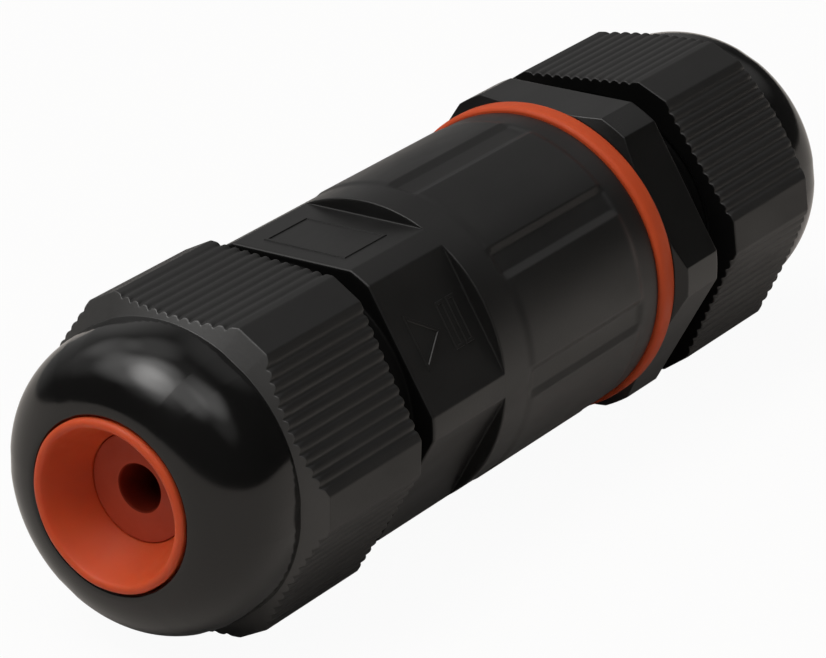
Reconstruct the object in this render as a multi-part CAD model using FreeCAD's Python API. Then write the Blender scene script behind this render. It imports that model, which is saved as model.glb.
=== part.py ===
import FreeCAD, Part
import math
import os

# Inline socket connector: two cable glands back to back on a two-part waterproof housing,
# with a screw terminal block inside. Millimetres. The part lies along X on the edge of its
# gasket, with wrench flats up; Z is up and the origin is under its middle. The end at -X is
# the front gland, the end at +X is the rear gland on the housing half that unscrews.

# Terminals: brass tubes in a ring round the axis, each with its clamping screws
pole_count = 3
pole_circle_radius = 5.6
tube_diameter = 5.8
tube_bore = 3.5
tube_clearance = 0.05
screws_per_tube = 2
screw_spacing = 13.0
screw_diameter = 2.9
screw_head_diameter = 3.8
screw_head_height = 1.4
screw_head_lift = 0.4
screw_head_cover = 0.6
screw_end_drop = 0.5
screw_clearance = 0.05
screw_access_clearance = 0.2
screw_slot_width = 0.6
screw_slot_depth = 0.7

# Terminal block
block_length = 27.4
block_recess = 1.3
block_clearance = 0.1
block_end_clearance = 0.3
block_shoulder = 0.7
key_width = 2.0
key_height = 0.7
key_length = 10.0
wire_entry_diameter = 4.0
wire_entry_wall = 1.5

# Barrel housing
barrel_length = 25.7
barrel_wall = 2.05
body_flat_depth = 1.6
body_hexagon_length = 11.2
flute_count = 8
flute_width = 3.8
flute_floor_width = 1.8
flute_depth = 0.4
flute_front_land = 3.85
flute_rear_land = 2.75
flute_turn = 5.0
land_depth = 0.15

# Rear housing
collar_length = 6.0
collar_corner_cut = 0.75
collar_chamfer = 1.1
collar_chamfer_angle = 30.0
spigot_length = 11.5
spigot_wall = 1.4

# Gasket between the two housings
gasket_gap = 2.3
gasket_overhang = 0.35
gasket_bulge = 0.4
gasket_face_clearance = 0.05
soft_clearance = 0.3

# Threaded necks, the same on both housings
neck_wall = 2.2
neck_length = 14.0
neck_chamfer = 0.5
thread_clearance = 0.1

# Gland nuts
nut_wall = 2.0
nut_corner_cut = 0.85
nut_gap = 3.6
nut_reach = 3.1
nut_lead_in = 0.5
front_nut_turn = 3.0
rear_nut_turn = -5.0
nut_chamfer_length = 1.4
rib_count = 12
rib_depth = 0.36
rib_crest_share = 0.4
nose_step = 0.6
nose_straight = 1.7
nose_arc_radius = 6.5
mouth_diameter = 15.9
mouth_edge_radius = 0.5
mouth_land = 1.4
cone_angle = 30.0
cone_clearance = 0.15

# Clamp cages
cage_clearance = 0.1
cage_wall = 0.9
cage_sleeve_length = 6.0
cage_floor_thickness = 1.2
cage_floor_opening = 14.0
cage_flange_thickness = 1.4
cage_flange_step = 0.5
finger_count = 10
finger_slot = 1.3
finger_root = 0.4
finger_tip_thickness = 0.8

# Cable seals and their inner sleeves
seal_clearance = 0.1
seal_seat_clearance = 0.1
lip_proud = 0.4
lip_width = 0.9
funnel_depth = 4.6
insert_diameter = 9.9
insert_clearance = 0.05
insert_flange_step = 1.45
insert_flange_thickness = 1.2
cable_bore = 4.3
bore_edge_radius = 0.3

# Diameters that follow, from the terminals outwards to the wrench flats
head_top = pole_circle_radius + tube_diameter / 2 + screw_head_lift + screw_head_height
block_diameter = 2 * (head_top + screw_head_cover)
spigot_bore = block_diameter + 2 * block_end_clearance
spigot_diameter = spigot_bore + 2 * spigot_wall
barrel_diameter = spigot_diameter + 2 * (thread_clearance + barrel_wall)
body_across_flats = barrel_diameter - 2 * body_flat_depth
gasket_diameter = barrel_diameter + 2 * gasket_overhang
neck_bore = block_diameter - 2 * block_shoulder
neck_diameter = neck_bore + 2 * neck_wall
nut_across_flats = neck_diameter + 2 * (thread_clearance + nut_wall)
collar_across_flats = nut_across_flats
sharp_corner_diameter = nut_across_flats / math.cos(math.radians(30))
nut_corner_diameter = sharp_corner_diameter - 2 * nut_corner_cut
collar_corner_diameter = sharp_corner_diameter - 2 * collar_corner_cut
nose_base_diameter = nut_across_flats - 2 * nose_step
insert_flange_diameter = insert_diameter + 2 * insert_flange_step

# Stations along the axis, counted from the barrel's rear end, which the gasket meets
barrel_front = -barrel_length
body_front = barrel_front - body_hexagon_length
collar_front = gasket_gap
collar_rear = collar_front + collar_length
spigot_end = -spigot_length
thread_end = spigot_end - block_end_clearance
block_rear = -block_recess
block_front = block_rear - block_length
block_seat = block_front - block_clearance
block_stop = block_rear + block_end_clearance
flute_start = barrel_front + flute_front_land
flute_end = -flute_rear_land

# Radii of the housings and of what they hold
barrel_radius = barrel_diameter / 2
neck_bore_radius = neck_bore / 2
block_pocket_radius = block_diameter / 2 + block_clearance
spigot_bore_radius = spigot_bore / 2
spigot_radius = spigot_diameter / 2
spigot_seat_radius = spigot_radius + thread_clearance

# Stations of one gland, counted outwards from the face of the hexagon that carries it. Each nut
# stops where its thread is tight, a few degrees out of line with the hexagon.
nut_back = nut_gap
nut_front = neck_length + nut_reach
chamfer_end = nut_front + nut_chamfer_length
nose_arc_start = chamfer_end + nose_straight
nose_radius = nose_base_diameter / 2
nose_arc_center_radius = nose_radius - nose_arc_radius
mouth_radius = mouth_diameter / 2
mouth_edge = mouth_radius + mouth_edge_radius
nose_end = nose_arc_start + math.sqrt(nose_arc_radius ** 2 - (mouth_edge - nose_arc_center_radius) ** 2)
cone_slope = math.tan(math.radians(cone_angle))
cone_end = nose_end - mouth_land
nut_bore_radius = neck_diameter / 2 + thread_clearance
cone_start = cone_end - (nut_bore_radius - mouth_radius) / cone_slope
flange_front = neck_length + cage_flange_thickness
cage_back = neck_length - cage_sleeve_length
cage_radius = neck_bore_radius - cage_clearance
cage_bore_radius = cage_radius - cage_wall
finger_tip_radius = cage_bore_radius + finger_tip_thickness
seal_back = cage_back + cage_floor_thickness + seal_seat_clearance
seal_radius = cage_bore_radius - seal_clearance
seal_neck_radius = mouth_radius - seal_clearance
lip_front = nose_end + lip_proud
funnel_floor = lip_front - funnel_depth

# Both glands are equally long, so the part's middle lies halfway between the two faces that
# carry them. The middle is moved to X = 0. The gasket stands out below the flats of nuts and
# collar, so its lowest point is moved to Z = 0.
part_middle = (body_front + collar_rear) / 2
axis_height = max(gasket_diameter, nut_across_flats) / 2

x_axis = FreeCAD.Vector(1, 0, 0)
z_axis = FreeCAD.Vector(0, 0, 1)
center = FreeCAD.Vector(0, 0, 0)


def in_profile(point):
    """Point at a station along the axis and a radius from it, in the plane Y = 0."""
    return FreeCAD.Vector(point[0], 0, point[1])


def turned(outline):
    """Solid of revolution about the X axis. The outline lists (station, radius) corners; a pair
    of them stands for an arc that passes through the first and ends at the second."""
    edges = []
    start = outline[0]
    for step in outline[1:] + outline[:1]:
        if isinstance(step[0], tuple):
            middle, end = step
            edges.append(Part.Arc(in_profile(start), in_profile(middle), in_profile(end)).toShape())
        else:
            end = step
            if end != start:
                edges.append(Part.LineSegment(in_profile(start), in_profile(end)).toShape())
        start = end
    return Part.Face(Part.Wire(edges)).revolve(center, x_axis, 360)


def drum(radius, start, end):
    """Round bar on the axis between two stations."""
    return Part.makeCylinder(radius, end - start, FreeCAD.Vector(start, 0, 0), x_axis)


def extruded(corners, start, end):
    """Bar on the axis between two stations whose section lists (y, z) corners."""
    points = [FreeCAD.Vector(start, y, z) for y, z in corners]
    section = Part.Face(Part.makePolygon(points + points[:1]))
    return section.extrude(FreeCAD.Vector(end - start, 0, 0))


def block(size_x, size_y, start_x, bottom, top):
    """Upright box across the middle plane between two heights."""
    corner = FreeCAD.Vector(start_x, -size_y / 2, bottom)
    return Part.makeBox(size_x, size_y, top - bottom, corner)


def turned_about_axis(shape, angle):
    """Copy turned about the part's axis; 90 degrees of turn takes +Z to -Y."""
    copy = shape.copy()
    copy.rotate(center, x_axis, angle)
    return copy


def hexagon(across_flats, start, end):
    """Hexagonal bar with a flat up and a flat down."""
    reach = across_flats / 2 / math.cos(math.radians(30))
    angles = [math.radians(60 * i) for i in range(6)]
    return extruded([(reach * math.cos(a), reach * math.sin(a)) for a in angles], start, end)


def ribbed_hexagon(across_flats, corner_radius, start, end):
    """Hexagonal bar whose flats carry lengthwise ribs with V-shaped grooves between them, side by
    side up to the rounded corners."""
    apothem = across_flats / 2
    half_flat = math.sqrt(corner_radius ** 2 - apothem ** 2)
    pitch = 2 * half_flat / rib_count
    corners = []
    for side in range(6):
        normal = math.radians(60 * side + 30)
        along = normal + math.pi / 2
        points = [(-apothem * math.tan(math.radians(30)), apothem)]
        for rib in range(rib_count):
            crest = -half_flat + (rib + 0.5) * pitch
            points.append((crest - pitch * rib_crest_share / 2, apothem))
            points.append((crest + pitch * rib_crest_share / 2, apothem))
            if rib < rib_count - 1:
                points.append((crest + pitch / 2, apothem - rib_depth))
        for offset, height in points:
            y = height * math.cos(normal) + offset * math.cos(along)
            z = height * math.sin(normal) + offset * math.sin(along)
            corners.append((y, z))
    return extruded(corners, start, end).common(drum(corner_radius, start, end))


def neck():
    """Threaded neck on a hexagon's face, as a plain cylinder at the thread's crest."""
    radius = neck_diameter / 2
    return turned([
        (0, 0),
        (0, radius),
        (neck_length - neck_chamfer, radius),
        (neck_length, radius - neck_chamfer),
        (neck_length, 0),
    ])


def at_front(shape):
    """Moves a gland piece to the front end, facing -X."""
    copy = shape.copy()
    copy.rotate(center, z_axis, 180)
    copy.translate(FreeCAD.Vector(body_front, 0, 0))
    return copy


def at_rear(shape):
    """Moves a gland piece to the rear end, facing +X."""
    copy = shape.copy()
    copy.translate(FreeCAD.Vector(collar_rear, 0, 0))
    return copy


def barrel_housing():
    """Round barrel with raised pads between shallow flutes, a wrench hexagon cut into its front and
    a threaded neck. The inside steps out from the wiring space to the block's pocket and the
    rear thread."""
    land_radius = barrel_radius - land_depth
    body = turned([
        (barrel_front, 0),
        (barrel_front, land_radius),
        (flute_start, land_radius),
        (flute_start + land_depth, barrel_radius),
        (flute_end - land_depth, barrel_radius),
        (flute_end, land_radius),
        (0, land_radius),
        (0, 0),
    ])
    waist = drum(land_radius, body_front, barrel_front)
    waist = waist.common(hexagon(body_across_flats, body_front, barrel_front))
    outside = body.fuse([waist, at_front(neck())]).removeSplitter()
    floor = barrel_radius - flute_depth
    top = barrel_radius + flute_depth
    top_width = flute_width + (flute_width - flute_floor_width)
    section = [
        (-flute_floor_width / 2, floor),
        (flute_floor_width / 2, floor),
        (top_width / 2, top),
        (-top_width / 2, top),
    ]
    flute = extruded(section, flute_start, flute_end)
    turns = [flute_turn + 360 / flute_count * i for i in range(flute_count)]
    flutes = [turned_about_axis(flute, turn) for turn in turns]
    inside = turned([
        (body_front - neck_length - 1, 0),
        (body_front - neck_length - 1, neck_bore_radius),
        (block_seat, neck_bore_radius),
        (block_seat, block_pocket_radius),
        (thread_end, block_pocket_radius),
        (thread_end, spigot_seat_radius),
        (1, spigot_seat_radius),
        (1, 0),
    ])
    keyway_floor = -block_pocket_radius - key_height
    keyway = block(thread_end - block_seat, key_width + 2 * block_clearance, block_seat, keyway_floor, 0)
    return outside.cut(flutes + [inside, keyway])


def rear_housing():
    """Hexagonal collar with a threaded spigot that screws into the barrel and a rear neck."""
    collar_radius = collar_corner_diameter / 2
    rim_start = collar_front + collar_chamfer * math.tan(math.radians(collar_chamfer_angle))
    rim = turned([
        (collar_front, 0),
        (collar_front, collar_radius - collar_chamfer),
        (rim_start, collar_radius),
        (collar_rear, collar_radius),
        (collar_rear, 0),
    ])
    collar = hexagon(collar_across_flats, collar_front, collar_rear).common(rim)
    spigot = turned([
        (spigot_end, 0),
        (spigot_end, spigot_radius - neck_chamfer),
        (spigot_end + neck_chamfer, spigot_radius),
        (collar_front, spigot_radius),
        (collar_front, 0),
    ])
    inside = turned([
        (spigot_end - 1, 0),
        (spigot_end - 1, spigot_bore_radius),
        (block_stop, spigot_bore_radius),
        (block_stop, neck_bore_radius),
        (collar_rear + neck_length + 1, neck_bore_radius),
        (collar_rear + neck_length + 1, 0),
    ])
    return collar.fuse([spigot, at_rear(neck())]).removeSplitter().cut(inside)


def body_gasket():
    """Flat ring between barrel and collar, squeezed out into a round edge."""
    front = gasket_face_clearance
    rear = gasket_gap - gasket_face_clearance
    inner = spigot_radius + soft_clearance
    edge = gasket_diameter / 2 - gasket_bulge
    crest = ((front + rear) / 2, gasket_diameter / 2)
    return turned([(front, inner), (front, edge), (crest, (rear, edge)), (rear, inner)])


def gland_nut():
    """Ribbed hexagon nut with a domed nose. Inside, a cone presses the cage's fingers on the seal."""
    corner_radius = nut_corner_diameter / 2
    bar = ribbed_hexagon(nut_across_flats, corner_radius, nut_back, chamfer_end)
    bar = bar.common(turned([
        (nut_back, 0),
        (nut_back, corner_radius),
        (nut_front, corner_radius),
        (chamfer_end, nose_radius),
        (chamfer_end, 0),
    ]))
    arc_angle = math.asin((mouth_edge - nose_arc_center_radius) / nose_arc_radius)
    middle_angle = (arc_angle + math.pi / 2) / 2
    arc_middle = (
        nose_arc_start + nose_arc_radius * math.cos(middle_angle),
        nose_arc_center_radius + nose_arc_radius * math.sin(middle_angle),
    )
    edge_middle = (
        nose_end - mouth_edge_radius * (1 - math.sqrt(0.5)),
        mouth_edge - mouth_edge_radius * math.sqrt(0.5),
    )
    nose = turned([
        (nut_back, 0),
        (nut_back, nose_radius),
        (nose_arc_start, nose_radius),
        (arc_middle, (nose_end, mouth_edge)),
        (edge_middle, (nose_end - mouth_edge_radius, mouth_radius)),
        (nose_end - mouth_edge_radius, 0),
    ])
    inside = turned([
        (nut_back - 1, 0),
        (nut_back - 1, nut_bore_radius + nut_lead_in + 1),
        (nut_back + nut_lead_in, nut_bore_radius),
        (cone_start, nut_bore_radius),
        (cone_end, mouth_radius),
        (nose_end + 1, mouth_radius),
        (nose_end + 1, 0),
    ])
    return bar.fuse(nose).removeSplitter().cut(inside)


def clamp_cage():
    """Sleeve in the neck with a flange on its end and a crown of fingers round the seal."""
    reach = nut_bore_radius - cone_clearance / math.cos(math.radians(cone_angle))
    tip = cone_start + (reach - finger_tip_radius) / cone_slope
    flange_radius = neck_diameter / 2 - cage_flange_step
    shoulder = cone_start + (reach - flange_radius) / cone_slope
    ring = turned([
        (cage_back, cage_floor_opening / 2),
        (cage_back, cage_radius),
        (neck_length, cage_radius),
        (neck_length, flange_radius),
        (shoulder, flange_radius),
        (tip, finger_tip_radius),
        (tip, cage_bore_radius),
        (cage_back + cage_floor_thickness, cage_bore_radius),
        (cage_back + cage_floor_thickness, cage_floor_opening / 2),
    ])
    slot_start = flange_front + finger_root
    slot = block(tip + 1 - slot_start, finger_slot, slot_start, 0, neck_diameter)
    slots = [turned_about_axis(slot, 360 / finger_count * i) for i in range(finger_count)]
    return ring.cut(slots)


def cable_seal():
    """Rubber bush with a rounded lip in the nut's mouth and a funnel down to its inner sleeve."""
    bore = insert_diameter / 2 + insert_clearance
    reach = nut_bore_radius - seal_clearance / math.cos(math.radians(cone_angle))
    taper_start = cone_start + (reach - seal_radius) / cone_slope
    taper_end = cone_start + (reach - seal_neck_radius) / cone_slope
    lip_round = lip_width / 2
    recess = seal_back + insert_flange_thickness + insert_clearance
    return turned([
        (seal_back, insert_flange_diameter / 2 + insert_clearance),
        (seal_back, seal_radius),
        (taper_start, seal_radius),
        (taper_end, seal_neck_radius),
        (lip_front - lip_round, seal_neck_radius),
        ((lip_front, seal_neck_radius - lip_round), (lip_front - lip_round, seal_neck_radius - lip_width)),
        (funnel_floor, bore),
        (recess, bore),
        (recess, insert_flange_diameter / 2 + insert_clearance),
    ])


def seal_insert():
    """Inner sleeve for thin cables, pulled out for thick ones; a flange at its back holds it."""
    radius = insert_diameter / 2
    hole = cable_bore / 2
    flange = seal_back + insert_flange_thickness
    edge_middle = (
        funnel_floor - bore_edge_radius * (1 - math.sqrt(0.5)),
        hole + bore_edge_radius * (1 - math.sqrt(0.5)),
    )
    return turned([
        (seal_back, hole),
        (seal_back, insert_flange_diameter / 2),
        (flange, insert_flange_diameter / 2),
        (flange, radius),
        (funnel_floor, radius),
        (funnel_floor, hole + bore_edge_radius),
        (edge_middle, (funnel_floor - bore_edge_radius, hole)),
    ])


def at_pole(shape, pole):
    """Copy of a piece of the upper pole, turned to one of the poles round the axis."""
    return turned_about_axis(shape, 360 / pole_count * pole)


def screw_stations():
    """Stations of the screws along a terminal tube, spread about the block's middle."""
    middle = (block_front + block_rear) / 2
    first = middle - screw_spacing * (screws_per_tube - 1) / 2
    return [first + screw_spacing * i for i in range(screws_per_tube)]


def upright_bar(radius, station, bottom, top):
    """Round bar that stands on the upper pole's line, square to the axis."""
    return Part.makeCylinder(radius, top - bottom, FreeCAD.Vector(station, 0, bottom), z_axis)


def terminal_block():
    """Round insulating block with a channel for each brass tube and a well for each screw."""
    body = drum(block_diameter / 2, block_front, block_rear)
    key_bottom = -block_diameter / 2 - key_height
    body = body.fuse(block(key_length, key_width, block_front, key_bottom, 0)).removeSplitter()
    channel = drum(tube_diameter / 2 + tube_clearance, block_front + wire_entry_wall, block_rear + 1)
    entry = drum(wire_entry_diameter / 2, block_front - 1, block_rear)
    cuts = [channel, entry]
    for cut in cuts:
        cut.translate(FreeCAD.Vector(0, 0, pole_circle_radius))
    well_radius = screw_head_diameter / 2 + screw_access_clearance
    for station in screw_stations():
        cuts.append(upright_bar(well_radius, station, pole_circle_radius, block_diameter))
    for pole in range(pole_count):
        body = body.cut([at_pole(cut, pole) for cut in cuts])
    return body


def terminal_tube():
    """Brass tube of the upper pole, bored for the wires and cross-drilled for its screws."""
    tube = drum(tube_diameter / 2, block_front + wire_entry_wall, block_rear - wire_entry_wall)
    hole = drum(tube_bore / 2, block_front, block_rear)
    for shape in (tube, hole):
        shape.translate(FreeCAD.Vector(0, 0, pole_circle_radius))
    radius = screw_diameter / 2 + screw_clearance
    top = pole_circle_radius + tube_diameter
    drillings = [upright_bar(radius, s, pole_circle_radius, top) for s in screw_stations()]
    return tube.cut([hole] + drillings)


def terminal_screw(station):
    """Slotted clamping screw of the upper pole, backed off so that a wire can enter."""
    head_bottom = head_top - screw_head_height
    shank = upright_bar(screw_diameter / 2, station, pole_circle_radius + screw_end_drop, head_bottom)
    head = upright_bar(screw_head_diameter / 2, station, head_bottom, head_top)
    slot_start = station - screw_head_diameter
    slot_bottom = head_top - screw_slot_depth
    slot = block(2 * screw_head_diameter, screw_slot_width, slot_start, slot_bottom, head_top + 1)
    return shank.fuse(head).cut(slot)


def build():
    """All pieces by name, still about their own axis."""
    pieces = {
        "barrel_housing": barrel_housing(),
        "rear_housing": rear_housing(),
        "body_gasket": body_gasket(),
        "terminal_block": terminal_block(),
    }
    for end, place, nut_turn in (("front", at_front, front_nut_turn), ("rear", at_rear, rear_nut_turn)):
        pieces[end + "_gland_nut"] = turned_about_axis(place(gland_nut()), nut_turn)
        pieces[end + "_clamp_cage"] = place(clamp_cage())
        pieces[end + "_cable_seal"] = place(cable_seal())
        pieces[end + "_seal_insert"] = place(seal_insert())
    for pole in range(pole_count):
        pieces["terminal_tube_%d" % (pole + 1)] = at_pole(terminal_tube(), pole)
        for i, station in enumerate(screw_stations()):
            number = pole * screws_per_tube + i + 1
            pieces["terminal_screw_%d" % number] = at_pole(terminal_screw(station), pole)
    return pieces


os.makedirs("parts", exist_ok=True)
for name, shape in build().items():
    shape.translate(FreeCAD.Vector(-part_middle, 0, axis_height))
    shape.exportStep("parts/" + name + ".step")
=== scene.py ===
import math

import bpy
import numpy as np
from mathutils import Matrix, Vector


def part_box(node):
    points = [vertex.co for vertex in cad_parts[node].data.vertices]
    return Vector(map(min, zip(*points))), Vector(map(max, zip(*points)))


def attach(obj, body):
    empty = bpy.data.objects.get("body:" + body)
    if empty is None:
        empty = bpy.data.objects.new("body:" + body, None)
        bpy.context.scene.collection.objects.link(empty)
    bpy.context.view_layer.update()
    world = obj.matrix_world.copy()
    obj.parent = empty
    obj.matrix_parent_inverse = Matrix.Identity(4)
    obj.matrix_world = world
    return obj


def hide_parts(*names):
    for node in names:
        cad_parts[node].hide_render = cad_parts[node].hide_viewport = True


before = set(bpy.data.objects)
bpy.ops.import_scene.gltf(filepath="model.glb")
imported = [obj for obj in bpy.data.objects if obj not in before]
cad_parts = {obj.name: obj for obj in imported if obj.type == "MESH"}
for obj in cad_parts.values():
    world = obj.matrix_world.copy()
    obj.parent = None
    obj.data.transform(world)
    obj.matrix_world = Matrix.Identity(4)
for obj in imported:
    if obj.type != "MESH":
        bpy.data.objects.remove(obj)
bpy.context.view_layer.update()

# Sizes in metres. The axis runs along X; stations of a gland are counted outwards from the face
# of the hexagon that carries it, and angles round the axis run from the top.
mm = 0.001
inner_edge = 0.1 * mm
moulded_edge = 0.2 * mm
eased_edge = 0.3 * mm
curve_steps = 3
rows_per_edge = curve_steps + 3

neck_length = 14.0 * mm
neck_radius = 12.4 * mm
neck_bore_radius = 10.2 * mm
neck_chamfer = 0.5 * mm
thread_pitch = 1.5 * mm
thread_depth = 0.8 * mm
thread_run_out = 1.2 * mm
thread_rows_per_pitch = 12

nut_gap = 3.6 * mm
nut_reach = 3.1 * mm
nut_chamfer = 1.4 * mm
nut_apothem = 14.5 * mm
nut_corner_radius = 15.89 * mm
nut_bore_radius = 12.5 * mm
nut_lead_in = 0.5 * mm
front_nut_turn = math.radians(3)
rear_nut_turn = math.radians(-5)
rib_count = 12
rib_depth = 0.36 * mm
rib_crest_share = 0.4
rib_softness = 0.2 * mm
rib_middle_share = 0.36
rib_fade = 0.9 * mm
nose_radius = 13.9 * mm
nose_straight = 1.7 * mm
nose_ease = 0.2
nose_arc_radius = 6.5 * mm
mouth_radius = 7.95 * mm
mouth_edge_radius = 0.35 * mm
mouth_land = 1.4 * mm
cone_slope = math.tan(math.radians(30))

seal_radius = 9.1 * mm
seal_back = 9.3 * mm
seal_neck_radius = 7.92 * mm
lip_proud = 0.4 * mm
lip_width = 0.9 * mm
funnel_depth = 4.6 * mm
funnel_hollow = 0.16 * mm
finger_count = 10
finger_press = 0.03 * mm
lip_sway = 0.07 * mm
seal_shoulder_gap = 0.12 * mm
insert_radius = 4.95 * mm
insert_clearance = 0.05 * mm
insert_flange_radius = 6.4 * mm
insert_flange_thickness = 1.2 * mm
cable_bore_radius = 2.15 * mm

barrel_radius = 14.75 * mm
land_radius = 14.6 * mm
body_apothem = 13.15 * mm
body_hexagon_length = 11.2 * mm
body_corner_inset = 0.004 * mm
flute_count = 8
flute_turn = math.radians(5)
flute_floor_half = 0.9 * mm
flute_depth = 0.4 * mm
flute_rise = 1.0 / 0.4
flute_front_land = 3.85 * mm
flute_rear_land = 2.75 * mm
flute_end_slope = 0.7 * mm
spigot_seat_radius = 12.7 * mm
spigot_seat_depth = 11.8 * mm
block_pocket_radius = 11.0 * mm
block_seat_depth = 28.8 * mm

collar_apothem = 14.5 * mm
collar_corner_radius = 15.99 * mm
collar_length = 6.0 * mm
collar_face_radius = 14.89 * mm
collar_chamfer_slope = math.tan(math.radians(30))
collar_chamfer_least = 0.12 * mm
spigot_radius = 12.6 * mm
spigot_bore_radius = 11.2 * mm
spigot_thread_depth = 0.6 * mm
spigot_run_out = 2.5 * mm
block_stop_depth = 3.3 * mm

gasket_radius = 15.1 * mm
gasket_bulge = 0.22 * mm
gasket_inner_gap = 0.3 * mm

mark_width = 0.4 * mm
mark_rise = 0.1 * mm
mark_slope_share = 0.2
mark_sink = 0.03 * mm

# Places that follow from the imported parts
barrel_low, barrel_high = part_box("barrel_housing")
rear_low, rear_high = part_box("rear_housing")
gasket_low, gasket_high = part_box("body_gasket")
axis_height = (barrel_low.z + barrel_high.z) / 2
front_face = barrel_low.x + neck_length
rear_face = rear_high.x - neck_length
barrel_rear = barrel_high.x
barrel_front = front_face + body_hexagon_length
collar_front = rear_face - collar_length


# Outlines and grids

def softened(corners, steps=curve_steps):
    """Rows of a closed outline. Each corner is (along, across, softness); along and across may be
    arrays with one value for each column. A corner V with softness s becomes the parabola
    (1-t)^2 A + 2t(1-t) V + t^2 B, where A and B lie s from V towards its neighbours. A guard
    point beyond A and beyond B keeps the long faces flat in the shading. Softness 0 is a plain
    point, as on an arc."""
    columns = max(np.size(value) for corner in corners for value in corner[:2])
    points = np.array([[np.broadcast_to(v, columns) for v in corner[:2]] for corner in corners])
    back = np.roll(points, 1, axis=0) - points
    ahead = np.roll(points, -1, axis=0) - points
    back_length = np.maximum(np.hypot(back[:, 0], back[:, 1]), 1e-9)
    ahead_length = np.maximum(np.hypot(ahead[:, 0], ahead[:, 1]), 1e-9)
    rows = []
    for i, corner in enumerate(corners):
        middle = points[i]
        if corner[2] == 0:
            rows.append(middle)
            continue
        reach = np.minimum(corner[2], 0.4 * np.minimum(back_length[i], ahead_length[i]))
        to_back = back[i] / back_length[i]
        to_ahead = ahead[i] / ahead_length[i]
        start = middle + to_back * reach
        end = middle + to_ahead * reach
        rows.append(middle + to_back * np.minimum(1.8 * reach, 0.47 * back_length[i]))
        for t in np.linspace(0, 1, steps + 1):
            rows.append((1 - t) ** 2 * start + 2 * t * (1 - t) * middle + t ** 2 * end)
        rows.append(middle + to_ahead * np.minimum(1.8 * reach, 0.47 * ahead_length[i]))
    return np.array(rows)


def round_the_axis(outline, angles):
    """Grid of points about the axis. Row i and column j lie at station outline[i, 0, j] and at
    radius outline[i, 1, j], turned by angles[j] from the top towards -Y."""
    stations, radii, turns = np.broadcast_arrays(outline[:, 0], outline[:, 1], angles)
    return np.stack([stations, -radii * np.sin(turns), radii * np.cos(turns)], axis=-1)


def new_piece(name, places, quads, finishes, quad_finish=None, smooth=True):
    """Mesh object from arrays of places and quads. The quads' order is turned round where the
    volume that they enclose comes out negative, so that faces point outwards."""
    a, b, c, d = (places[quads[:, k]] for k in range(4))
    volume = np.einsum("ij,ij->i", a, np.cross(b, c) + np.cross(c, d)).sum()
    if volume < 0:
        quads = quads[:, ::-1]
    mesh = bpy.data.meshes.new(name)
    mesh.vertices.add(len(places))
    mesh.vertices.foreach_set("co", places.astype(np.float32).ravel())
    mesh.loops.add(quads.size)
    mesh.loops.foreach_set("vertex_index", quads.astype(np.int32).ravel())
    mesh.polygons.add(len(quads))
    mesh.polygons.foreach_set("loop_start", np.arange(0, quads.size, 4, dtype=np.int32))
    mesh.polygons.foreach_set("use_smooth", np.full(len(quads), smooth))
    for finish in finishes:
        mesh.materials.append(finish)
    if quad_finish is not None:
        mesh.polygons.foreach_set("material_index", quad_finish.astype(np.int32))
    mesh.update(calc_edges=True)
    mesh.validate()
    piece = bpy.data.objects.new(name, mesh)
    bpy.context.scene.collection.objects.link(piece)
    return piece


def closed_grid(name, points, finishes, row_finish=None):
    """Piece from a grid that closes on itself both ways. Quad (i, j) joins rows i and i+1 with
    columns j and j+1; row_finish gives each row of quads one of the finishes."""
    rows, columns = points.shape[:2]
    index = np.arange(rows * columns).reshape(rows, columns)
    quads = np.stack([
        index,
        np.roll(index, -1, axis=1),
        np.roll(np.roll(index, -1, axis=0), -1, axis=1),
        np.roll(index, -1, axis=0),
    ], axis=-1).reshape(-1, 4)
    quad_finish = None if row_finish is None else np.repeat(row_finish, columns)
    return new_piece(name, points.reshape(-1, 3), quads, finishes, quad_finish)


def finish_rows(corners, spans):
    """Finish number for each row of quads of a softened outline. A span (first, last, finish) runs
    from the middle of one corner to the middle of another, or to the outline's end where its last
    is the number of corners; the rest has finish 0."""
    sizes = np.array([1 if corner[2] == 0 else rows_per_edge for corner in corners])
    middles = np.append(np.cumsum(sizes) - sizes + (sizes - 1) // 2, sizes.sum())
    numbers = np.zeros(sizes.sum(), dtype=np.int32)
    for first, last, finish in spans:
        numbers[middles[first]:middles[last]] = finish
    return numbers


def facing_front(points):
    """Gland points turned half round the vertical and set on the front hexagon's face."""
    return points * (-1, -1, 1) + (front_face, 0, axis_height)


def facing_rear(points):
    """Gland points set on the rear hexagon's face."""
    return points + (rear_face, 0, axis_height)


def along_body(points):
    """Body points, whose stations are already places along X, lifted to the axis."""
    return points + (0, 0, axis_height)


def hexagon_radius(angles, apothem, corner_radius):
    """Radius of a hexagon with a flat on top and rounded corners: the apothem divided by the
    cosine of the angle from the nearest flat's middle, and never more than the corner radius."""
    from_flat = (angles + math.pi / 6) % (math.pi / 3) - math.pi / 6
    return np.minimum(apothem / np.cos(from_flat), corner_radius)


def columns_near(marks, spacing, window=0.006):
    """Angles once round the axis at an even spacing, with three more at each mark: on it and a
    little to either side, which gives an edge there a crisp and narrow rounding."""
    even = np.arange(0, 2 * math.pi, spacing)
    marks = np.asarray(marks) % (2 * math.pi)
    close = (marks[:, None] + np.array([-window, 0, window])).ravel() % (2 * math.pi)
    gap = np.abs((even[:, None] - close + math.pi) % (2 * math.pi) - math.pi)
    return np.sort(np.concatenate([even[gap.min(axis=1) > window], close]))


def hexagon_edges(apothem, corner_radius):
    """Angles at which a hexagon's flats meet its rounded corners."""
    half = math.acos(apothem / corner_radius)
    return [math.radians(60 * k) + side * half for k in range(6) for side in (-1, 1)]


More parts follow.
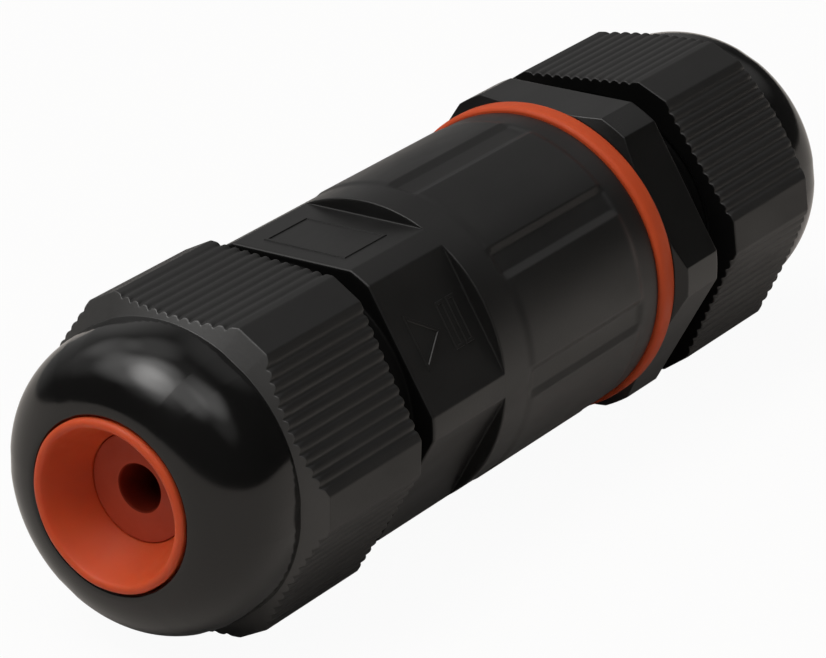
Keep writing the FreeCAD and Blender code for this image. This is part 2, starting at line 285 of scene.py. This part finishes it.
def threaded(start, end, crest, depth, angles):
    """Rows of a right-hand thread from its chamfered end to its run-out. The radius is the crest
    less the depth times a clipped sine of the station over the pitch minus the angle over a turn.
    It fades to the plain crest at the run-out, and the chamfer cuts it off at the start."""
    count = int(abs(end - start) / thread_pitch * thread_rows_per_pitch)
    stations = np.linspace(start, end, count)[:, None]
    phase = stations / thread_pitch - angles / (2 * math.pi)
    groove = np.clip(0.5 + 0.85 * np.sin(2 * math.pi * phase), 0, 1)
    fade = np.clip(np.abs(stations - end) / thread_pitch, 0, 1)
    radii = crest - depth * groove * fade
    tip = crest - neck_chamfer + np.abs(stations - start)
    radii = np.minimum(radii, tip)
    return [(station, row, 0) for station, row in zip(stations.ravel(), radii)]


# Finishes. Scales of noise are counts per metre.

noise_range = (0.3, 0.7)


def new_finish(name):
    """Empty node material with a shader and its object coordinates."""
    finish = bpy.data.materials.new(name)
    finish.use_nodes = True
    tree = finish.node_tree
    shader = tree.nodes["Principled BSDF"]
    place = tree.nodes.new("ShaderNodeTexCoord")
    return finish, tree, shader, place.outputs["Object"]


def cloud(tree, place, scale, detail, stretch=(1, 1, 1)):
    """Noise over the piece's own coordinates; stretch under 1 draws it out along that axis."""
    mapping = tree.nodes.new("ShaderNodeMapping")
    mapping.inputs["Scale"].default_value = stretch
    tree.links.new(place, mapping.inputs["Vector"])
    noise = tree.nodes.new("ShaderNodeTexNoise")
    noise.inputs["Scale"].default_value = scale
    noise.inputs["Detail"].default_value = detail
    tree.links.new(mapping.outputs["Vector"], noise.inputs["Vector"])
    return noise.outputs["Fac"]


def between(tree, source, low, high):
    """Number that goes from low to high as noise goes through its usual range."""
    ramp = tree.nodes.new("ShaderNodeMapRange")
    ramp.inputs["From Min"].default_value, ramp.inputs["From Max"].default_value = noise_range
    ramp.inputs["To Min"].default_value = low
    ramp.inputs["To Max"].default_value = high
    tree.links.new(source, ramp.inputs["Value"])
    return ramp.outputs["Result"]


def mixed_colour(tree, source, first, second):
    """Colour between two tones, led by a number from 0 to 1."""
    mix = tree.nodes.new("ShaderNodeMix")
    mix.data_type = "RGBA"
    mix.inputs["A"].default_value = (*first, 1)
    mix.inputs["B"].default_value = (*second, 1)
    tree.links.new(source, mix.inputs["Factor"])
    return mix.outputs["Result"]


def relief(tree, shader, heights):
    """Bump nodes one after another; each height is (source, strength, depth)."""
    normal = None
    for source, strength, depth in heights:
        bump = tree.nodes.new("ShaderNodeBump")
        bump.inputs["Strength"].default_value = strength
        bump.inputs["Distance"].default_value = depth
        tree.links.new(source, bump.inputs["Height"])
        if normal is not None:
            tree.links.new(normal, bump.inputs["Normal"])
        normal = bump.outputs["Normal"]
    tree.links.new(normal, shader.inputs["Normal"])


def moulded_plastic(name, dark, light, roughness, grain, grain_depth, flow=0.3, level=0.5):
    """Moulded plastic: two close tones in soft clouds, fine eroded grain, faint flow marks along
    the axis and a roughness that wanders."""
    finish, tree, shader, place = new_finish(name)
    tone = between(tree, cloud(tree, place, 90, 4), 0, 1)
    tree.links.new(mixed_colour(tree, tone, dark, light), shader.inputs["Base Color"])
    wander = cloud(tree, place, 260, 5, (0.35, 1, 1))
    tree.links.new(between(tree, wander, *roughness), shader.inputs["Roughness"])
    fine = cloud(tree, place, grain, 2)
    marks = cloud(tree, place, 420, 2, (0.12, 1, 1))
    relief(tree, shader, [(fine, 0.5, grain_depth), (marks, flow, 0.01 * mm)])
    shader.inputs["Specular IOR Level"].default_value = level
    return finish


def moulded_rubber(name, deep, bright, roughness, level, glow):
    """Silicone rubber: warm tone in soft clouds, powdery speckle, faint mould bloom."""
    finish, tree, shader, place = new_finish(name)
    tone = between(tree, cloud(tree, place, 160, 4), 0, 1)
    tree.links.new(mixed_colour(tree, tone, deep, bright), shader.inputs["Base Color"])
    bloom = cloud(tree, place, 900, 4)
    tree.links.new(between(tree, bloom, *roughness), shader.inputs["Roughness"])
    relief(tree, shader, [(cloud(tree, place, 2600, 3), 0.35, 0.012 * mm)])
    shader.inputs["Specular IOR Level"].default_value = level
    shader.inputs["Subsurface Weight"].default_value = glow
    shader.inputs["Subsurface Radius"].default_value = (1.0, 0.3, 0.1)
    shader.inputs["Subsurface Scale"].default_value = 1.4 * mm
    return finish


def turned_metal(name, tone, bright, roughness, ring_scale):
    """Machined metal: tool rings across the axis, slight tarnish."""
    finish, tree, shader, place = new_finish(name)
    tarnish = between(tree, cloud(tree, place, 300, 4), 0, 1)
    tree.links.new(mixed_colour(tree, tarnish, tone, bright), shader.inputs["Base Color"])
    rings = cloud(tree, place, ring_scale, 2, (1, 0.05, 0.05))
    tree.links.new(between(tree, rings, *roughness), shader.inputs["Roughness"])
    relief(tree, shader, [(rings, 0.3, 0.01 * mm)])
    shader.inputs["Metallic"].default_value = 1.0
    return finish


housing_black = moulded_plastic(
    "housing_black", (0.0078, 0.0077, 0.0076), (0.0115, 0.0113, 0.011), (0.36, 0.46), 3200, 0.012 * mm)
collar_black = moulded_plastic(
    "collar_black", (0.0045, 0.0044, 0.0043), (0.0065, 0.0064, 0.0062), (0.27, 0.34), 3200, 0.008 * mm)
# Painted shade: a near-black matt finish, darker than the plastic really is, laid on the faces inside the
# gaps between the nuts and the housings, where shade falls.
painted_shade_black = moulded_plastic(
    "painted_shade_black", (0.0025, 0.0025, 0.0025), (0.0035, 0.0035, 0.0034), (0.55, 0.65), 2400, 0.01 * mm,
    level=0.12)
nut_black = moulded_plastic(
    "nut_black", (0.0085, 0.0083, 0.0081), (0.012, 0.0117, 0.0114), (0.47, 0.58), 2800, 0.014 * mm,
    level=0.55)
chamfer_black = moulded_plastic(
    "chamfer_black", (0.022, 0.0217, 0.0212), (0.03, 0.0296, 0.0289), (0.42, 0.52), 2400, 0.02 * mm,
    level=0.8)
nose_black = moulded_plastic(
    "nose_black", (0.0055, 0.0054, 0.0053), (0.0075, 0.0074, 0.0072), (0.1, 0.16), 1500, 0.002 * mm,
    flow=0.12)
seal_orange = moulded_rubber(
    "seal_orange", (0.55, 0.074, 0.022), (0.65, 0.094, 0.028), (0.42, 0.58), level=0.3, glow=0.45)
insert_orange = moulded_rubber(
    "insert_orange", (0.4, 0.05, 0.018), (0.49, 0.063, 0.022), (0.55, 0.7), level=0.4, glow=0)
# Painted shade: the same rubber in a far darker orange for the sleeve's cable bore, standing in for the
# shade deep inside the hole.
painted_shade_orange = moulded_rubber(
    "painted_shade_orange", (0.16, 0.017, 0.006), (0.2, 0.021, 0.007), (0.6, 0.7), level=0.15, glow=0)
gasket_orange = moulded_rubber(
    "gasket_orange", (0.56, 0.076, 0.023), (0.64, 0.092, 0.028), (0.45, 0.58), level=0.18, glow=0.15)
cage_grey = moulded_plastic(
    "cage_grey", (0.055, 0.056, 0.058), (0.07, 0.071, 0.073), (0.4, 0.5), 2600, 0.01 * mm)
block_cream = moulded_plastic(
    "block_cream", (0.62, 0.6, 0.53), (0.7, 0.68, 0.61), (0.35, 0.5), 2600, 0.012 * mm)
terminal_brass = turned_metal("terminal_brass", (0.66, 0.42, 0.14), (0.82, 0.58, 0.24), (0.2, 0.36), 2200)
screw_steel = turned_metal("screw_steel", (0.46, 0.46, 0.47), (0.66, 0.66, 0.67), (0.22, 0.4), 2600)


# Gland nuts

def ribbed_section(depth):
    """Angles and radii of the nut's section, in order round the axis. Each flat carries lengthwise
    ribs: crests as wide as the crest share of the pitch, with V-shaped grooves of the given depth
    between them, all rounded over. Narrow plain facets join the flats."""
    half_flat = math.sqrt(nut_corner_radius ** 2 - nut_apothem ** 2)
    pitch = 2 * half_flat / rib_count
    crest_half = pitch * rib_crest_share / 2
    flat = [(-half_flat, nut_apothem, inner_edge)]
    for groove in range(1, rib_count):
        middle = -half_flat + groove * pitch
        flat.append((middle - pitch / 2 + crest_half, nut_apothem, rib_softness))
        flat.append((middle, nut_apothem - depth, rib_softness))
        flat.append((middle + pitch / 2 - crest_half, nut_apothem, rib_softness))
    flat.append((half_flat, nut_apothem, inner_edge))
    corners = []
    for side in range(6):
        normal = math.radians(60 * side)
        turn = np.array([[math.cos(normal), -math.sin(normal)], [math.sin(normal), math.cos(normal)]])
        corners += [(*(turn @ (offset, height)), softness) for offset, height, softness in reversed(flat)]
    outline = softened(corners, steps=2)[:, :, 0]
    angles = np.arctan2(-outline[:, 0], outline[:, 1]) % (2 * math.pi)
    radii = np.hypot(outline[:, 0], outline[:, 1])
    order = np.argsort(angles)
    return angles[order], radii[order]


def gland_nut(name, place, turn):
    """Nut as an outline turned about the axis, whose flats reach out to the ribbed section. The
    grooves are shallower between the ends. The conical chamfer ends where it meets the section, so
    the ribs leave a toothed edge on it. The nose is an arc, eased into the short straight behind it
    by an exponential of the arc's angle, that ends in the rounded mouth; inside follow the land,
    the cone and the bore."""
    angles, section = ribbed_section(rib_depth)
    shallow = np.interp(angles, *ribbed_section(rib_depth * rib_middle_share), period=2 * math.pi)
    flats_end = neck_length + nut_reach
    chamfer_end = flats_end + nut_chamfer
    chamfer_slope = (nut_corner_radius - nose_radius) / nut_chamfer
    meets = chamfer_end - (section - nose_radius) / chamfer_slope
    arc_start = chamfer_end + nose_straight
    arc_middle_radius = nose_radius - nose_arc_radius
    mouth_edge = mouth_radius + mouth_edge_radius
    arc_end = math.acos((mouth_edge - arc_middle_radius) / nose_arc_radius)
    arc = [(arc_start - nose_straight * math.exp(-t / nose_ease) + nose_arc_radius * math.sin(t),
            arc_middle_radius + nose_arc_radius * math.cos(t), 0)
           for t in arc_end * np.linspace(0, 1, 36)[1:] ** 1.5]
    nose_end = arc[-1][0]
    edge = [(nose_end - mouth_edge_radius * (1 - math.cos(t)),
             mouth_edge - mouth_edge_radius * math.sin(t), 0)
            for t in np.linspace(0, math.pi / 2, 7)[1:]]
    cone_end = nose_end - mouth_land
    cone_start = cone_end - (nut_bore_radius - mouth_radius) / cone_slope
    corners = [
        (nut_gap, nut_bore_radius + nut_lead_in, inner_edge),
        (nut_gap, section, 0.16 * mm),
        (nut_gap + rib_fade, shallow, eased_edge),
        (meets - rib_fade, shallow, eased_edge),
        (meets, section, inner_edge),
        (chamfer_end, nose_radius, 0.12 * mm),
        *arc,
        *edge,
        (cone_end, mouth_radius, 0.15 * mm),
        (cone_start, nut_bore_radius, 0.15 * mm),
        (nut_gap + nut_lead_in, nut_bore_radius, inner_edge),
    ]
    mouth = 6 + len(arc) + len(edge)
    # The nut's rear face, in the gap before the housing, takes the painted shade (finish 3).
    row_finish = finish_rows(corners, [(0, 1, 3), (4, 5, 1), (5, mouth, 2)])
    points = place(round_the_axis(softened(corners), angles + turn))
    return closed_grid(name, points, [nut_black, chamfer_black, nose_black, painted_shade_black], row_finish)


# Cable seals and their inner sleeves

def nose_end_station():
    """Station of the nose's front end, where its arc meets the mouth's rounded edge."""
    arc_middle_radius = nose_radius - nose_arc_radius
    rise = mouth_radius + mouth_edge_radius - arc_middle_radius
    arc_start = neck_length + nut_reach + nut_chamfer + nose_straight
    return arc_start + math.sqrt(nose_arc_radius ** 2 - rise ** 2)


def squeezed(angles):
    """Small inward waves that the crown of fingers presses into rubber, and three slower ones that
    make the lip a little out of round: half of one plus a cosine each, so never outwards."""
    press = 0.5 + 0.5 * np.cos(finger_count * angles)
    sway = 0.5 + 0.5 * np.cos(3 * angles + 0.8)
    return finger_press * press + lip_sway * sway


def cable_seal(name, place):
    """Rubber bush: an outline turned about the axis, with a round lip, a funnel whose wall is
    hollowed by a sine of its depth, and a bore and recess for the inner sleeve."""
    angles = np.linspace(0, 2 * math.pi, 192, endpoint=False)
    nose_end = nose_end_station()
    cone_end = nose_end - mouth_land
    cone_start = cone_end - (nut_bore_radius - mouth_radius) / cone_slope
    lip_front = nose_end + lip_proud
    floor = lip_front - funnel_depth
    bore = insert_radius + insert_clearance
    reach = nut_bore_radius - seal_shoulder_gap
    wave = squeezed(angles)
    lip_middle = seal_neck_radius - lip_width / 2
    lip = [(lip_front - lip_width / 2 * (1 - math.sin(t)),
            lip_middle + lip_width / 2 * math.cos(t) - wave, 0)
           for t in np.linspace(0, math.pi * 0.86, 12)]
    rim = lip[-1]
    funnel = []
    for t in np.linspace(0.12, 0.92, 8):
        hollow = funnel_hollow * math.sin(math.pi * t)
        funnel.append((rim[0] + (floor - rim[0]) * t, rim[1] + (bore - rim[1]) * t + hollow, 0))
    recess = seal_back + insert_flange_thickness + insert_clearance
    corners = [
        (seal_back, insert_flange_radius + insert_clearance, inner_edge),
        (seal_back, seal_radius, moulded_edge),
        (cone_start + (reach - seal_radius) / cone_slope, seal_radius, moulded_edge),
        (cone_start + (reach - seal_neck_radius) / cone_slope, seal_neck_radius - wave, 0.15 * mm),
        *lip,
        *funnel,
        (floor, bore, inner_edge),
        (recess, bore, inner_edge),
        (recess, insert_flange_radius + insert_clearance, inner_edge),
    ]
    points = place(round_the_axis(softened(corners), angles))
    return closed_grid(name, points, [seal_orange])


def seal_insert(name, place):
    """Inner sleeve: flanged at the back, with a flat face and a soft edge round its hole."""
    angles = np.linspace(0, 2 * math.pi, 128, endpoint=False)
    floor = nose_end_station() + lip_proud - funnel_depth
    flange = seal_back + insert_flange_thickness
    corners = [
        (seal_back, cable_bore_radius, 0.15 * mm),
        (seal_back, insert_flange_radius, 0.15 * mm),
        (flange, insert_flange_radius, 0.15 * mm),
        (flange, insert_radius, inner_edge),
        (floor, insert_radius, 0.16 * mm),
        (floor, cable_bore_radius, 0.26 * mm),
    ]
    # The bore takes the darker orange of painted shade.
    row_finish = finish_rows(corners, [(len(corners) - 1, len(corners), 1)])
    points = place(round_the_axis(softened(corners), angles))
    return closed_grid(name, points, [insert_orange, painted_shade_orange], row_finish)


# Housings and the gasket between them

def flute_radius(angles):
    """Radius at the bottom of the flutes: the larger of the flat floor's distance over the cosine
    of the angle from the flute's middle, and the sloped wall's line, up to the barrel's radius."""
    step = 2 * math.pi / flute_count
    off = np.abs((angles - flute_turn + step / 2) % step - step / 2)
    floor = barrel_radius - flute_depth
    wall = (flute_rise * floor - flute_floor_half) / (flute_rise * np.cos(off) - np.sin(off))
    return np.minimum(np.maximum(floor / np.cos(off), wall), barrel_radius)


def flute_edges():
    """Angles of the flutes' floor edges and of the edges where their walls reach the barrel."""
    tries = np.linspace(0, math.pi / flute_count, 4000)
    open_angle = tries[np.argmax(flute_radius(tries + flute_turn) >= barrel_radius)]
    floor_angle = math.atan(flute_floor_half / (barrel_radius - flute_depth))
    step = 2 * math.pi / flute_count
    middles = [flute_turn + k * step for k in range(flute_count)]
    return [middle + side * a for middle in middles for side in (-1, 1) for a in (floor_angle, open_angle)]


def barrel_housing():
    """Barrel with raised pads between eight flutes, a hexagon cut into its front and a threaded
    neck, as one outline turned about the axis; the hexagon's flats and the flutes lower the radius
    with the angle. Pads and flutes fade into the lands at both ends."""
    marks = hexagon_edges(body_apothem, land_radius) + flute_edges()
    angles = columns_near(marks, math.radians(2), 0.009)
    section = np.minimum(hexagon_radius(angles, body_apothem, land_radius), land_radius - body_corner_inset)
    fluted = flute_radius(angles)
    neck = threaded(barrel_low.x, front_face - thread_run_out, neck_radius, thread_depth, angles)
    flute_start = barrel_front + flute_front_land
    flute_end = barrel_rear - flute_rear_land
    corners = [
        (barrel_low.x, neck_bore_radius, moulded_edge),
        *neck,
        (front_face, neck_radius, moulded_edge),
        (front_face, section, 0.26 * mm),
        (barrel_front, section, 0.14 * mm),
        (barrel_front, land_radius, 0.16 * mm),
        (flute_start, land_radius, eased_edge),
        (flute_start + flute_end_slope, fluted, eased_edge),
        (flute_end - flute_end_slope, fluted, eased_edge),
        (flute_end, land_radius, eased_edge),
        (barrel_rear, land_radius, 0.25 * mm),
        (barrel_rear, spigot_seat_radius, eased_edge),
        (barrel_rear - spigot_seat_depth, spigot_seat_radius, inner_edge),
        (barrel_rear - spigot_seat_depth, block_pocket_radius, inner_edge),
        (barrel_rear - block_seat_depth, block_pocket_radius, inner_edge),
        (barrel_rear - block_seat_depth, neck_bore_radius, inner_edge),
    ]
    # The threaded neck and the face round it, in the front nut's gap, take the painted shade.
    row_finish = finish_rows(corners, [(1, len(neck) + 2, 1)])
    points = along_body(round_the_axis(softened(corners), angles))
    return closed_grid("barrel_shell", points, [housing_black, painted_shade_black], row_finish)


def rear_housing():
    """Hexagonal collar with a chamfered front face, a threaded spigot and a threaded neck."""
    marks = hexagon_edges(collar_apothem, collar_corner_radius)
    angles = columns_near(marks, math.radians(2))
    section = hexagon_radius(angles, collar_apothem, collar_corner_radius)
    face_edge = np.minimum(section - collar_chamfer_least, collar_face_radius)
    chamfer_end = collar_front + (section - face_edge) * collar_chamfer_slope
    spigot_thread_end = collar_front - spigot_run_out
    spigot = threaded(rear_low.x, spigot_thread_end, spigot_radius, spigot_thread_depth, angles)
    neck = threaded(rear_high.x, rear_face + thread_run_out, neck_radius, thread_depth, angles)
    corners = [
        (rear_low.x, spigot_bore_radius, moulded_edge),
        *spigot,
        (collar_front, spigot_radius, 0.15 * mm),
        (collar_front, face_edge, 0.08 * mm),
        (chamfer_end, section, inner_edge),
        (rear_face, section, moulded_edge),
        (rear_face, neck_radius, moulded_edge),
        *neck[::-1],
        (rear_high.x, neck_bore_radius, moulded_edge),
        (collar_front - block_stop_depth, neck_bore_radius, inner_edge),
        (collar_front - block_stop_depth, spigot_bore_radius, inner_edge),
    ]
    edge = len(spigot) + 2
    # The collar's chamfer and flats take collar_black; its rear face and threaded neck, in the rear nut's
    # gap, take the painted shade.
    row_finish = finish_rows(corners, [(edge, edge + 2, 1), (edge + 2, edge + 3 + len(neck), 2)])
    points = along_body(round_the_axis(softened(corners), angles))
    return closed_grid("rear_shell", points, [housing_black, collar_black, painted_shade_black], row_finish)


def body_gasket():
    """Rubber ring squeezed between the housings: its outer edge is a shallow arc, thickest in the
    middle, that rounds over into both faces."""
    angles = np.linspace(0, 2 * math.pi, 256, endpoint=False)
    front, rear = gasket_low.x, gasket_high.x
    middle, half = (front + rear) / 2, (rear - front) / 2
    shoulder = gasket_radius - 1.6 * gasket_bulge
    crown = [(middle + t * half, gasket_radius - gasket_bulge * t ** 4, 0)
             for t in np.linspace(-1, 1, 15)[1:-1]]
    corners = [
        (rear, spigot_radius + gasket_inner_gap, moulded_edge),
        (front, spigot_radius + gasket_inner_gap, moulded_edge),
        (front, shoulder, 0.06 * mm),
        *crown,
        (rear, shoulder, 0.06 * mm),
    ]
    points = along_body(round_the_axis(softened(corners), angles))
    return closed_grid("gasket_ring", points, [gasket_orange])


def raised_marks():
    """Generic raised marks on two flats of the body hexagon: a blank frame on the upper one, and
    on the side a triangle with two small frames beside it. Each is a closed strip round the corners
    (along, across, in mm) of a polygon: every corner is moved out and in by half the width along
    its mitre, and less at the top, where the strip slopes in."""
    def frame_round(middle, along, across):
        return [(middle + i * along, j * across) for i, j in ((-1, -1), (1, -1), (1, 1), (-1, 1))]
    marks = [
        (0, frame_round(-0.4, 3.0, 4.2)),
        (60, [(-3.2, -2.4), (0.2, 0.0), (-3.2, 2.4)]),
        (60, frame_round(1.8, 0.42, 2.1)),
        (60, frame_round(3.4, 0.42, 2.1)),
    ]
    middle = (front_face + barrel_front) / 2
    top = 0.5 - mark_slope_share
    section = [(0.5, -mark_sink), (top, mark_rise), (-top, mark_rise), (-0.5, -mark_sink)]
    places, quads, count = [], [], 0
    for side, polygon in marks:
        corners = np.array(polygon) * mm
        run = np.roll(corners, -1, axis=0) - corners
        run = run / np.linalg.norm(run, axis=1)[:, None]
        normal = np.stack([run[:, 1], -run[:, 0]], axis=1)
        before = np.roll(normal, 1, axis=0)
        mitre = (normal + before) / (1 + (normal * before).sum(axis=1))[:, None]
        turn = math.radians(side)
        for out, height in section:
            flat = corners + mitre * out * mark_width
            radius = body_apothem + height
            places.append(np.stack([
                middle + flat[:, 0],
                -math.sin(turn) * radius - math.cos(turn) * flat[:, 1],
                axis_height + math.cos(turn) * radius - math.sin(turn) * flat[:, 1],
            ], axis=1))
        index = count + np.arange(4 * len(corners)).reshape(4, -1)
        ahead = np.roll(index, -1, axis=1)
        beyond = np.roll(ahead, -1, axis=0)
        quads.append(np.stack([index, ahead, beyond, np.roll(index, -1, axis=0)], axis=-1).reshape(-1, 4))
        count += index.size
    places, quads = np.concatenate(places), np.concatenate(quads)
    return new_piece("barrel_marks", places, quads, [housing_black], smooth=False)


def dress_model():
    """All modelled pieces ride on their bodies and stand for their nodes, and the nodes that show
    as they are get their finish."""
    dressed = {
        "barrel_housing": (barrel_housing(), "barrel", "housing_plastic"),
        "rear_housing": (rear_housing(), "rear_half", "housing_plastic"),
        "body_gasket": (body_gasket(), "gasket", "seal_rubber"),
        "front_gland_nut": (
            gland_nut("front_nut_shell", facing_front, -front_nut_turn), "front_nut", "nut_plastic"),
        "rear_gland_nut": (
            gland_nut("rear_nut_shell", facing_rear, rear_nut_turn), "rear_nut", "nut_plastic"),
        "front_cable_seal": (cable_seal("front_seal_bush", facing_front), "front_seal", "seal_rubber"),
        "rear_cable_seal": (cable_seal("rear_seal_bush", facing_rear), "rear_seal", "seal_rubber"),
        "front_seal_insert": (seal_insert("front_sleeve", facing_front), "front_seal", "seal_rubber"),
        "rear_seal_insert": (seal_insert("rear_sleeve", facing_rear), "rear_seal", "seal_rubber"),
    }
    for node, (piece, body, slot) in dressed.items():
        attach(piece, body)
        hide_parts(node)
    marks = raised_marks()
    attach(marks, "barrel")
    for name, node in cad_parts.items():
        if name in dressed:
            continue
        if "cage" in name:
            finish = cage_grey
        elif "screw" in name:
            finish = screw_steel
        elif "tube" in name:
            finish = terminal_brass
        else:
            finish = block_cream
        node.data.materials.clear()
        node.data.materials.append(finish)


# Studio: pale floor, soft light and the camera

floor_half_width = 4.0
floor_white_share = 0.95
floor_mirrored_share = 0.03
room_level = 0.025
lens_length = 190.68
camera_place = (-304.11, -211.33, 168.25)
camera_aim = (-4.65, -0.08, 15.0)
camera_roll = -1.807


def direction(azimuth, elevation):
    """Unit vector at an azimuth, counted in degrees from -Y towards -X, and an elevation."""
    turn, rise = math.radians(azimuth), math.radians(elevation)
    return Vector((-math.sin(turn) * math.cos(rise), -math.cos(turn) * math.cos(rise), math.sin(rise)))


def combined(tree, operation, first, second):
    """Sum or product of a number with another number or a constant."""
    node = tree.nodes.new("ShaderNodeMath")
    node.operation = operation
    for value, socket in zip((first, second), node.inputs):
        if isinstance(value, float):
            socket.default_value = value
        else:
            tree.links.new(value, socket)
    return node.outputs["Value"]


def studio_floor():
    """Pale floor under the part. To the camera it is nearly white, and what is mixed in of its own
    shading keeps the part's shadow; in reflections it shows a little brighter than it is lit."""
    size = floor_half_width
    mesh = bpy.data.meshes.new("floor")
    corners = [(-size, -size, 0), (size, -size, 0), (size, size, 0), (-size, size, 0)]
    mesh.from_pydata(corners, [], [(0, 1, 2, 3)])
    floor = bpy.data.objects.new("floor", mesh)
    bpy.context.scene.collection.objects.link(floor)
    finish, tree, shader, _ = new_finish("floor_white")
    shader.inputs["Base Color"].default_value = (0.65, 0.61, 0.57, 1)
    shader.inputs["Roughness"].default_value = 0.9
    shader.inputs["Specular IOR Level"].default_value = 0.1
    glow = tree.nodes.new("ShaderNodeEmission")
    rays = tree.nodes.new("ShaderNodeLightPath")
    seen = combined(tree, "ADD", rays.outputs["Is Camera Ray"], rays.outputs["Is Transmission Ray"])
    mirrored = combined(tree, "MULTIPLY", rays.outputs["Is Glossy Ray"], floor_mirrored_share)
    share = combined(tree, "ADD", combined(tree, "MULTIPLY", seen, floor_white_share), mirrored)
    mix = tree.nodes.new("ShaderNodeMixShader")
    tree.links.new(share, mix.inputs["Fac"])
    tree.links.new(shader.outputs["BSDF"], mix.inputs[1])
    tree.links.new(glow.outputs["Emission"], mix.inputs[2])
    tree.links.new(mix.outputs["Shader"], tree.nodes["Material Output"].inputs["Surface"])
    mesh.materials.append(finish)


def soft_lamp(name, azimuth, elevation, distance, width, height, power):
    """Rectangular lamp at a distance from the part's middle, aimed at it. Its edges don't show in
    glossy surfaces, which mirror the world's soft panels instead."""
    data = bpy.data.lights.new(name, "AREA")
    data.shape = "RECTANGLE"
    data.size, data.size_y = width, height
    data.energy = power
    lamp = bpy.data.objects.new(name, data)
    lamp.visible_glossy = False
    bpy.context.scene.collection.objects.link(lamp)
    toward = direction(azimuth, elevation)
    lamp.location = Vector((0, 0, axis_height)) + toward * distance
    lamp.rotation_euler = (-toward).to_track_quat("-Z", "Y").to_euler()


def studio_world():
    """Soft panels of light overhead in a dim room. Each panel is a round lobe at an azimuth and an
    elevation, whose level falls off smoothly from an inner to an outer angle from its middle."""
    lobes = [
        (110, 62, 2, 20, 2.8),
        (120, 78, 2, 20, 1.5),
        (0, 62, 2, 20, 1.3),
        (50, 62, 2, 20, 1.3),
        (140, 54, 4, 26, 1.3),
        (100, 54, 2, 20, 1.25),
        (140, 70, 2, 20, 1.1),
        (190, 46, 2, 20, 0.6),
        (220, 62, 2, 20, 0.55),
        (110, 46, 2, 20, 0.35),
        (170, 38, 4, 26, 0.3),
        (10, 46, 2, 20, 0.3),
        (90, 78, 20, 42, 0.15),
        (274, 42, 6, 26, 0.3),
        (232, 28, 5, 24, 0.12),
        (210, 8, 10, 45, 0.2),
    ]
    world = bpy.data.worlds.new("studio")
    world.use_nodes = True
    tree = world.node_tree
    place = tree.nodes.new("ShaderNodeTexCoord")
    level = room_level
    for azimuth, elevation, inner, outer, strength in lobes:
        nearness = tree.nodes.new("ShaderNodeVectorMath")
        nearness.operation = "DOT_PRODUCT"
        tree.links.new(place.outputs["Generated"], nearness.inputs[0])
        nearness.inputs[1].default_value = direction(azimuth, elevation)
        ramp = tree.nodes.new("ShaderNodeMapRange")
        ramp.interpolation_type = "SMOOTHSTEP"
        ramp.inputs["From Min"].default_value = math.cos(math.radians(outer))
        ramp.inputs["From Max"].default_value = math.cos(math.radians(inner))
        ramp.inputs["To Max"].default_value = strength
        tree.links.new(nearness.outputs["Value"], ramp.inputs["Value"])
        level = combined(tree, "ADD", ramp.outputs["Result"], level)
    backdrop = tree.nodes["Background"]
    backdrop.inputs["Color"].default_value = (1.0, 0.985, 0.97, 1)
    tree.links.new(level, backdrop.inputs["Strength"])
    bpy.context.scene.world = world


def photo_camera():
    """Camera from the front left and above, as in the photograph."""
    data = bpy.data.cameras.new("camera")
    data.sensor_width = 36.0
    data.lens = lens_length
    data.clip_start = 0.01
    camera = bpy.data.objects.new("camera", data)
    bpy.context.scene.collection.objects.link(camera)
    place, aim = Vector(camera_place) * mm, Vector(camera_aim) * mm
    facing = (aim - place).to_track_quat("-Z", "Y").to_matrix().to_4x4()
    roll = Matrix.Rotation(math.radians(camera_roll), 4, "Z")
    camera.matrix_world = Matrix.Translation(place) @ facing @ roll
    bpy.context.scene.camera = camera


dress_model()
studio_floor()
studio_world()
soft_lamp("overhead_box", 112, 62, 1.2, 0.5, 0.26, 0.9)
photo_camera()
bpy.context.scene.view_settings.view_transform = "Standard"
